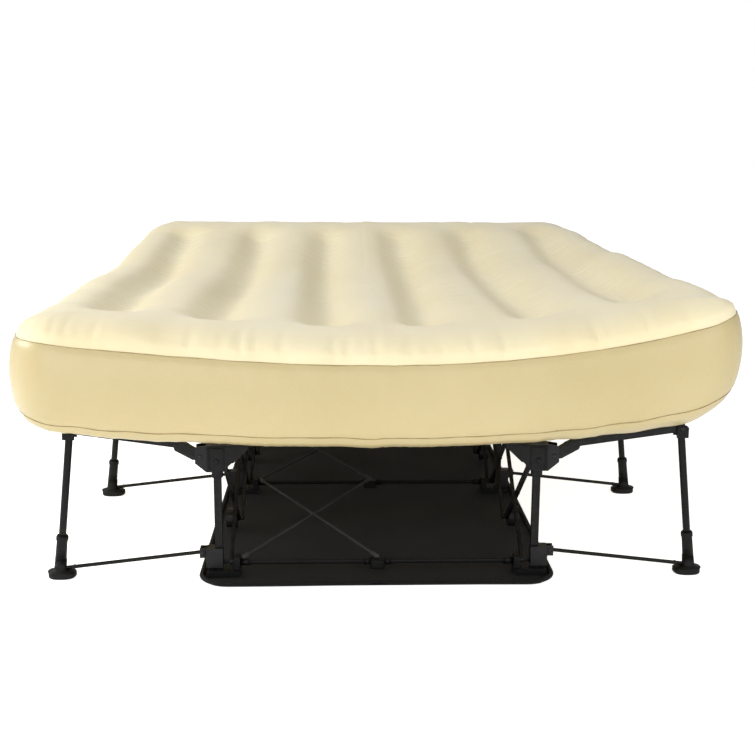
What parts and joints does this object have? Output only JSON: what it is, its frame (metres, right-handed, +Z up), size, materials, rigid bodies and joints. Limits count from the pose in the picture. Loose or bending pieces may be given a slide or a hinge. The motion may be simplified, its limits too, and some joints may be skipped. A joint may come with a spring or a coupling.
{
  "type": "air mattress",
  "caption": "Inflated mattress on a self-standing folding scissor frame with outer legs on hinged arms, floor rods and a fabric ground sheet.",
  "frame": {"origin": "on the floor, under the middle of the bed", "axes": "+Z up, +Y from the foot end to the head end, +X to the right seen from the foot end"},
  "size_m": [1.566, 2.05, 0.6513],
  "materials": {
    "steel": "satin",
    "plastic": "matte",
    "nylon": "matte",
    "vinyl": "satin",
    "cord": "matte"
  },
  "bodies": {
    "base": {"base_rail_2": "plastic", "ground_sheet": "nylon"},
    "inner_scissor_frame_3": {"inner_scissor_frame_3": "steel"},
    "outer_bar_right_2": {"outer_bar_right_2": "steel"},
    "outer_bar_left_2": {"outer_bar_left_2": "steel"},
    "outer_scissor_frame_3": {"outer_scissor_frame_3": "steel"},
    "post_right_2": {"post_right_2": "steel", "mattress_bladder": "vinyl"},
    "inner_bar_right_2": {"inner_bar_right_2": "steel"},
    "outer_bar_right_4": {"outer_bar_right_4": "steel"},
    "inner_bar_right_4": {"inner_bar_right_4": "steel"},
    "post_left_2": {"post_left_2": "steel"},
    "inner_bar_left_2": {"inner_bar_left_2": "steel"},
    "outer_bar_left_4": {"outer_bar_left_4": "steel"},
    "inner_bar_left_4": {"inner_bar_left_4": "steel"},
    "base_rail_3": {"base_rail_3": "plastic", "elastic_cross_2": "cord"},
    "outer_scissor_frame_5": {"outer_scissor_frame_5": "steel"},
    "inner_scissor_frame_5": {"inner_scissor_frame_5": "steel"},
    "post_right_3": {"post_right_3": "steel"},
    "post_left_3": {"post_left_3": "steel"},
    "outer_scissor_frame_6": {"outer_scissor_frame_6": "steel"},
    "inner_scissor_frame_6": {"inner_scissor_frame_6": "steel"},
    "base_rail_4": {"base_rail_4": "plastic", "elastic_cross_3": "cord"},
    "post_right_4": {"post_right_4": "steel", "pump_housing": "plastic"},
    "post_left_4": {"post_left_4": "steel"},
    "outer_bar_right_1": {"outer_bar_right_1": "steel"},
    "outer_bar_left_1": {"outer_bar_left_1": "steel"},
    "inner_scissor_frame_1": {"inner_scissor_frame_1": "steel"},
    "base_rail_1": {"base_rail_1": "plastic", "elastic_cross_1": "cord"},
    "post_right_1": {"post_right_1": "steel"},
    "post_left_1": {"post_left_1": "steel"},
    "arm_right_2": {"arm_right_2": "steel"},
    "leg_right_2": {"leg_right_2": "steel"},
    "strut_right_2": {"strut_right_2": "steel"},
    "arm_right_1": {"arm_right_1": "steel"},
    "leg_right_1": {"leg_right_1": "steel"},
    "strut_right_1": {"strut_right_1": "steel"},
    "arm_right_3": {"arm_right_3": "steel"},
    "leg_right_3": {"leg_right_3": "steel"},
    "strut_right_3": {"strut_right_3": "steel"},
    "arm_right_4": {"arm_right_4": "steel"},
    "leg_right_4": {"leg_right_4": "steel"},
    "strut_right_4": {"strut_right_4": "steel"},
    "arm_left_2": {"arm_left_2": "steel"},
    "leg_left_2": {"leg_left_2": "steel"},
    "strut_left_2": {"strut_left_2": "steel"},
    "arm_left_1": {"arm_left_1": "steel"},
    "leg_left_1": {"leg_left_1": "steel"},
    "strut_left_1": {"strut_left_1": "steel"},
    "arm_left_3": {"arm_left_3": "steel"},
    "leg_left_3": {"leg_left_3": "steel"},
    "strut_left_3": {"strut_left_3": "steel"},
    "arm_left_4": {"arm_left_4": "steel"},
    "leg_left_4": {"leg_left_4": "steel"},
    "strut_left_4": {"strut_left_4": "steel"},
    "pump_knob": {"pump_knob": "plastic"}
  },
  "joints": [
    {"name": "length_fold", "type": "hinge", "parent": "base", "child": "inner_scissor_frame_3", "pos_m": [0, -0.3, 0.032], "axis": [1, 0, 0], "range_deg": [0, 32], "deforming": ["mattress_bladder", "elastic_cross_1", "elastic_cross_2", "elastic_cross_3"]},
    {"name": "outer_bar_right_2_turn", "type": "hinge", "parent": "base", "child": "outer_bar_right_2", "pos_m": [0, -0.3, 0.032], "axis": [1, 0, 0], "range_deg": [-33, 1]},
    {"name": "outer_bar_left_2_turn", "type": "hinge", "parent": "base", "child": "outer_bar_left_2", "pos_m": [0, -0.3, 0.032], "axis": [1, 0, 0], "range_deg": [-33, 1]},
    {"name": "outer_scissor_frame_3_turn", "type": "hinge", "parent": "inner_scissor_frame_3", "child": "outer_scissor_frame_3", "pos_m": [0, -0.15, 0.14], "axis": [1, 0, 0], "range_deg": [-65, 1]},
    {"name": "post_right_2_turn", "type": "hinge", "parent": "outer_scissor_frame_3", "child": "post_right_2", "pos_m": [0, -0.3, 0.248], "axis": [1, 0, 0], "range_deg": [-1, 33]},
    {"name": "inner_bar_right_2_turn", "type": "hinge", "parent": "outer_scissor_frame_3", "child": "inner_bar_right_2", "pos_m": [0, -0.3, 0.248], "axis": [1, 0, 0], "range_deg": [-1, 65]},
    {"name": "outer_bar_right_4_turn", "type": "hinge", "parent": "inner_scissor_frame_3", "child": "outer_bar_right_4", "pos_m": [0, 0, 0.248], "axis": [1, 0, 0], "range_deg": [-65, 1]},
    {"name": "inner_bar_right_4_turn", "type": "hinge", "parent": "outer_scissor_frame_3", "child": "inner_bar_right_4", "pos_m": [0, 0, 0.032], "axis": [1, 0, 0], "range_deg": [-1, 65]},
    {"name": "post_left_2_turn", "type": "hinge", "parent": "outer_scissor_frame_3", "child": "post_left_2", "pos_m": [0, -0.3, 0.248], "axis": [1, 0, 0], "range_deg": [-1, 33]},
    {"name": "inner_bar_left_2_turn", "type": "hinge", "parent": "outer_scissor_frame_3", "child": "inner_bar_left_2", "pos_m": [0, -0.3, 0.248], "axis": [1, 0, 0], "range_deg": [-1, 65]},
    {"name": "outer_bar_left_4_turn", "type": "hinge", "parent": "inner_scissor_frame_3", "child": "outer_bar_left_4", "pos_m": [0, 0, 0.248], "axis": [1, 0, 0], "range_deg": [-65, 1]},
    {"name": "inner_bar_left_4_turn", "type": "hinge", "parent": "outer_scissor_frame_3", "child": "inner_bar_left_4", "pos_m": [0, 0, 0.032], "axis": [1, 0, 0], "range_deg": [-1, 65]},
    {"name": "base_rail_3_turn", "type": "hinge", "parent": "outer_bar_left_4", "child": "base_rail_3", "pos_m": [0, 0.3, 0.032], "axis": [1, 0, 0], "range_deg": [-1, 33]},
    {"name": "outer_scissor_frame_5_turn", "type": "hinge", "parent": "inner_bar_left_4", "child": "outer_scissor_frame_5", "pos_m": [0, 0.3, 0.248], "axis": [1, 0, 0], "range_deg": [-65, 1]},
    {"name": "inner_scissor_frame_5_turn", "type": "hinge", "parent": "base_rail_3", "child": "inner_scissor_frame_5", "pos_m": [0, 0.3, 0.032], "axis": [1, 0, 0], "range_deg": [-1, 33]},
    {"name": "post_right_3_turn", "type": "hinge", "parent": "outer_scissor_frame_5", "child": "post_right_3", "pos_m": [0, 0.3, 0.248], "axis": [1, 0, 0], "range_deg": [-1, 33]},
    {"name": "post_left_3_turn", "type": "hinge", "parent": "outer_scissor_frame_5", "child": "post_left_3", "pos_m": [0, 0.3, 0.248], "axis": [1, 0, 0], "range_deg": [-1, 33]},
    {"name": "outer_scissor_frame_6_turn", "type": "hinge", "parent": "inner_scissor_frame_5", "child": "outer_scissor_frame_6", "pos_m": [0, 0.6, 0.248], "axis": [1, 0, 0], "range_deg": [-65, 1]},
    {"name": "inner_scissor_frame_6_turn", "type": "hinge", "parent": "outer_scissor_frame_5", "child": "inner_scissor_frame_6", "pos_m": [0, 0.6, 0.032], "axis": [1, 0, 0], "range_deg": [-1, 65]},
    {"name": "base_rail_4_turn", "type": "hinge", "parent": "outer_scissor_frame_6", "child": "base_rail_4", "pos_m": [0, 0.9, 0.032], "axis": [1, 0, 0], "range_deg": [-1, 33]},
    {"name": "post_right_4_turn", "type": "hinge", "parent": "inner_scissor_frame_6", "child": "post_right_4", "pos_m": [0, 0.9, 0.248], "axis": [1, 0, 0], "range_deg": [-33, 1]},
    {"name": "post_left_4_turn", "type": "hinge", "parent": "inner_scissor_frame_6", "child": "post_left_4", "pos_m": [0, 0.9, 0.248], "axis": [1, 0, 0], "range_deg": [-33, 1]},
    {"name": "outer_bar_right_1_turn", "type": "hinge", "parent": "inner_bar_right_2", "child": "outer_bar_right_1", "pos_m": [0, -0.6, 0.032], "axis": [1, 0, 0], "range_deg": [-65, 1]},
    {"name": "outer_bar_left_1_turn", "type": "hinge", "parent": "inner_bar_left_2", "child": "outer_bar_left_1", "pos_m": [0, -0.6, 0.032], "axis": [1, 0, 0], "range_deg": [-65, 1]},
    {"name": "inner_scissor_frame_1_turn", "type": "hinge", "parent": "outer_bar_left_2", "child": "inner_scissor_frame_1", "pos_m": [0, -0.6, 0.248], "axis": [1, 0, 0], "range_deg": [-1, 65]},
    {"name": "base_rail_1_turn", "type": "hinge", "parent": "inner_scissor_frame_1", "child": "base_rail_1", "pos_m": [0, -0.9, 0.032], "axis": [1, 0, 0], "range_deg": [-33, 1]},
    {"name": "post_right_1_turn", "type": "hinge", "parent": "outer_bar_right_1", "child": "post_right_1", "pos_m": [0, -0.9, 0.248], "axis": [1, 0, 0], "range_deg": [-1, 33]},
    {"name": "post_left_1_turn", "type": "hinge", "parent": "outer_bar_left_1", "child": "post_left_1", "pos_m": [0, -0.9, 0.248], "axis": [1, 0, 0], "range_deg": [-1, 33]},
    {"name": "wing_fold_right", "type": "hinge", "parent": "post_right_2", "child": "arm_right_2", "pos_m": [0.385, -0.3, 0.275], "axis": [0, -1, 0], "range_deg": [0, 60]},
    {"name": "leg_right_2_turn", "type": "hinge", "parent": "arm_right_2", "child": "leg_right_2", "pos_m": [0.665, -0.3, 0.335], "axis": [0, -1, 0], "range_deg": [-41.2, 1]},
    {"name": "strut_right_2_turn", "type": "hinge", "parent": "post_right_2", "child": "strut_right_2", "pos_m": [0.385, -0.3, 0.055], "axis": [0, -1, 0], "range_deg": [-1, 53.8]},
    {"name": "arm_right_1_turn", "type": "hinge", "parent": "post_right_1", "child": "arm_right_1", "pos_m": [0.385, -0.9, 0.275], "axis": [0, -1, 0], "range_deg": [-1, 61]},
    {"name": "leg_right_1_turn", "type": "hinge", "parent": "arm_right_1", "child": "leg_right_1", "pos_m": [0.665, -0.9, 0.335], "axis": [0, -1, 0], "range_deg": [-41.2, 1]},
    {"name": "strut_right_1_turn", "type": "hinge", "parent": "post_right_1", "child": "strut_right_1", "pos_m": [0.385, -0.9, 0.055], "axis": [0, -1, 0], "range_deg": [-1, 53.8]},
    {"name": "arm_right_3_turn", "type": "hinge", "parent": "post_right_3", "child": "arm_right_3", "pos_m": [0.385, 0.3, 0.275], "axis": [0, -1, 0], "range_deg": [-1, 61]},
    {"name": "leg_right_3_turn", "type": "hinge", "parent": "arm_right_3", "child": "leg_right_3", "pos_m": [0.665, 0.3, 0.335], "axis": [0, -1, 0], "range_deg": [-41.2, 1]},
    {"name": "strut_right_3_turn", "type": "hinge", "parent": "post_right_3", "child": "strut_right_3", "pos_m": [0.385, 0.3, 0.055], "axis": [0, -1, 0], "range_deg": [-1, 53.8]},
    {"name": "arm_right_4_turn", "type": "hinge", "parent": "post_right_4", "child": "arm_right_4", "pos_m": [0.385, 0.9, 0.275], "axis": [0, -1, 0], "range_deg": [-1, 61]},
    {"name": "leg_right_4_turn", "type": "hinge", "parent": "arm_right_4", "child": "leg_right_4", "pos_m": [0.665, 0.9, 0.335], "axis": [0, -1, 0], "range_deg": [-41.2, 1]},
    {"name": "strut_right_4_turn", "type": "hinge", "parent": "post_right_4", "child": "strut_right_4", "pos_m": [0.385, 0.9, 0.055], "axis": [0, -1, 0], "range_deg": [-1, 53.8]},
    {"name": "wing_fold_left", "type": "hinge", "parent": "post_left_2", "child": "arm_left_2", "pos_m": [-0.385, -0.3, 0.275], "axis": [0, 1, 0], "range_deg": [0, 60]},
    {"name": "leg_left_2_turn", "type": "hinge", "parent": "arm_left_2", "child": "leg_left_2", "pos_m": [-0.665, -0.3, 0.335], "axis": [0, 1, 0], "range_deg": [-41.2, 1]},
    {"name": "strut_left_2_turn", "type": "hinge", "parent": "post_left_2", "child": "strut_left_2", "pos_m": [-0.385, -0.3, 0.055], "axis": [0, 1, 0], "range_deg": [-1, 53.8]},
    {"name": "arm_left_1_turn", "type": "hinge", "parent": "post_left_1", "child": "arm_left_1", "pos_m": [-0.385, -0.9, 0.275], "axis": [0, 1, 0], "range_deg": [-1, 61]},
    {"name": "leg_left_1_turn", "type": "hinge", "parent": "arm_left_1", "child": "leg_left_1", "pos_m": [-0.665, -0.9, 0.335], "axis": [0, 1, 0], "range_deg": [-41.2, 1]},
    {"name": "strut_left_1_turn", "type": "hinge", "parent": "post_left_1", "child": "strut_left_1", "pos_m": [-0.385, -0.9, 0.055], "axis": [0, 1, 0], "range_deg": [-1, 53.8]},
    {"name": "arm_left_3_turn", "type": "hinge", "parent": "post_left_3", "child": "arm_left_3", "pos_m": [-0.385, 0.3, 0.275], "axis": [0, 1, 0], "range_deg": [-1, 61]},
    {"name": "leg_left_3_turn", "type": "hinge", "parent": "arm_left_3", "child": "leg_left_3", "pos_m": [-0.665, 0.3, 0.335], "axis": [0, 1, 0], "range_deg": [-41.2, 1]},
    {"name": "strut_left_3_turn", "type": "hinge", "parent": "post_left_3", "child": "strut_left_3", "pos_m": [-0.385, 0.3, 0.055], "axis": [0, 1, 0], "range_deg": [-1, 53.8]},
    {"name": "arm_left_4_turn", "type": "hinge", "parent": "post_left_4", "child": "arm_left_4", "pos_m": [-0.385, 0.9, 0.275], "axis": [0, 1, 0], "range_deg": [-1, 61]},
    {"name": "leg_left_4_turn", "type": "hinge", "parent": "arm_left_4", "child": "leg_left_4", "pos_m": [-0.665, 0.9, 0.335], "axis": [0, 1, 0], "range_deg": [-41.2, 1]},
    {"name": "strut_left_4_turn", "type": "hinge", "parent": "post_left_4", "child": "strut_left_4", "pos_m": [-0.385, 0.9, 0.055], "axis": [0, 1, 0], "range_deg": [-1, 53.8]},
    {"name": "pump_knob_turn", "type": "hinge", "parent": "post_right_4", "child": "pump_knob", "pos_m": [0.06, 1.02, 0.469], "axis": [0, 1, 0], "range_deg": [-90, 90]}
  ],
  "couplings": [
    {"joint": "outer_bar_right_2_turn", "follows": "length_fold", "ratio": -1},
    {"joint": "outer_bar_left_2_turn", "follows": "length_fold", "ratio": -1},
    {"joint": "outer_scissor_frame_3_turn", "follows": "length_fold", "ratio": -2},
    {"joint": "post_right_2_turn", "follows": "length_fold", "ratio": 1},
    {"joint": "inner_bar_right_2_turn", "follows": "length_fold", "ratio": 2},
    {"joint": "outer_bar_right_4_turn", "follows": "length_fold", "ratio": -2},
    {"joint": "inner_bar_right_4_turn", "follows": "length_fold", "ratio": 2},
    {"joint": "post_left_2_turn", "follows": "length_fold", "ratio": 1},
    {"joint": "inner_bar_left_2_turn", "follows": "length_fold", "ratio": 2},
    {"joint": "outer_bar_left_4_turn", "follows": "length_fold", "ratio": -2},
    {"joint": "inner_bar_left_4_turn", "follows": "length_fold", "ratio": 2},
    {"joint": "base_rail_3_turn", "follows": "length_fold", "ratio": 1},
    {"joint": "outer_scissor_frame_5_turn", "follows": "length_fold", "ratio": -2},
    {"joint": "inner_scissor_frame_5_turn", "follows": "length_fold", "ratio": 1},
    {"joint": "post_right_3_turn", "follows": "length_fold", "ratio": 1},
    {"joint": "post_left_3_turn", "follows": "length_fold", "ratio": 1},
    {"joint": "outer_scissor_frame_6_turn", "follows": "length_fold", "ratio": -2},
    {"joint": "inner_scissor_frame_6_turn", "follows": "length_fold", "ratio": 2},
    {"joint": "base_rail_4_turn", "follows": "length_fold", "ratio": 1},
    {"joint": "post_right_4_turn", "follows": "length_fold", "ratio": -1},
    {"joint": "post_left_4_turn", "follows": "length_fold", "ratio": -1},
    {"joint": "outer_bar_right_1_turn", "follows": "length_fold", "ratio": -2},
    {"joint": "outer_bar_left_1_turn", "follows": "length_fold", "ratio": -2},
    {"joint": "inner_scissor_frame_1_turn", "follows": "length_fold", "ratio": 2},
    {"joint": "base_rail_1_turn", "follows": "length_fold", "ratio": -1},
    {"joint": "post_right_1_turn", "follows": "length_fold", "ratio": 1},
    {"joint": "post_left_1_turn", "follows": "length_fold", "ratio": 1},
    {"joint": "leg_right_2_turn", "follows": "wing_fold_right", "ratio": -0.67},
    {"joint": "strut_right_2_turn", "follows": "wing_fold_right", "ratio": 0.88},
    {"joint": "arm_right_1_turn", "follows": "wing_fold_right", "ratio": 1},
    {"joint": "leg_right_1_turn", "follows": "wing_fold_right", "ratio": -0.67},
    {"joint": "strut_right_1_turn", "follows": "wing_fold_right", "ratio": 0.88},
    {"joint": "arm_right_3_turn", "follows": "wing_fold_right", "ratio": 1},
    {"joint": "leg_right_3_turn", "follows": "wing_fold_right", "ratio": -0.67},
    {"joint": "strut_right_3_turn", "follows": "wing_fold_right", "ratio": 0.88},
    {"joint": "arm_right_4_turn", "follows": "wing_fold_right", "ratio": 1},
    {"joint": "leg_right_4_turn", "follows": "wing_fold_right", "ratio": -0.67},
    {"joint": "strut_right_4_turn", "follows": "wing_fold_right", "ratio": 0.88},
    {"joint": "leg_left_2_turn", "follows": "wing_fold_left", "ratio": -0.67},
    {"joint": "strut_left_2_turn", "follows": "wing_fold_left", "ratio": 0.88},
    {"joint": "arm_left_1_turn", "follows": "wing_fold_left", "ratio": 1},
    {"joint": "leg_left_1_turn", "follows": "wing_fold_left", "ratio": -0.67},
    {"joint": "strut_left_1_turn", "follows": "wing_fold_left", "ratio": 0.88},
    {"joint": "arm_left_3_turn", "follows": "wing_fold_left", "ratio": 1},
    {"joint": "leg_left_3_turn", "follows": "wing_fold_left", "ratio": -0.67},
    {"joint": "strut_left_3_turn", "follows": "wing_fold_left", "ratio": 0.88},
    {"joint": "arm_left_4_turn", "follows": "wing_fold_left", "ratio": 1},
    {"joint": "leg_left_4_turn", "follows": "wing_fold_left", "ratio": -0.67},
    {"joint": "strut_left_4_turn", "follows": "wing_fold_left", "ratio": 0.88}
  ]
}
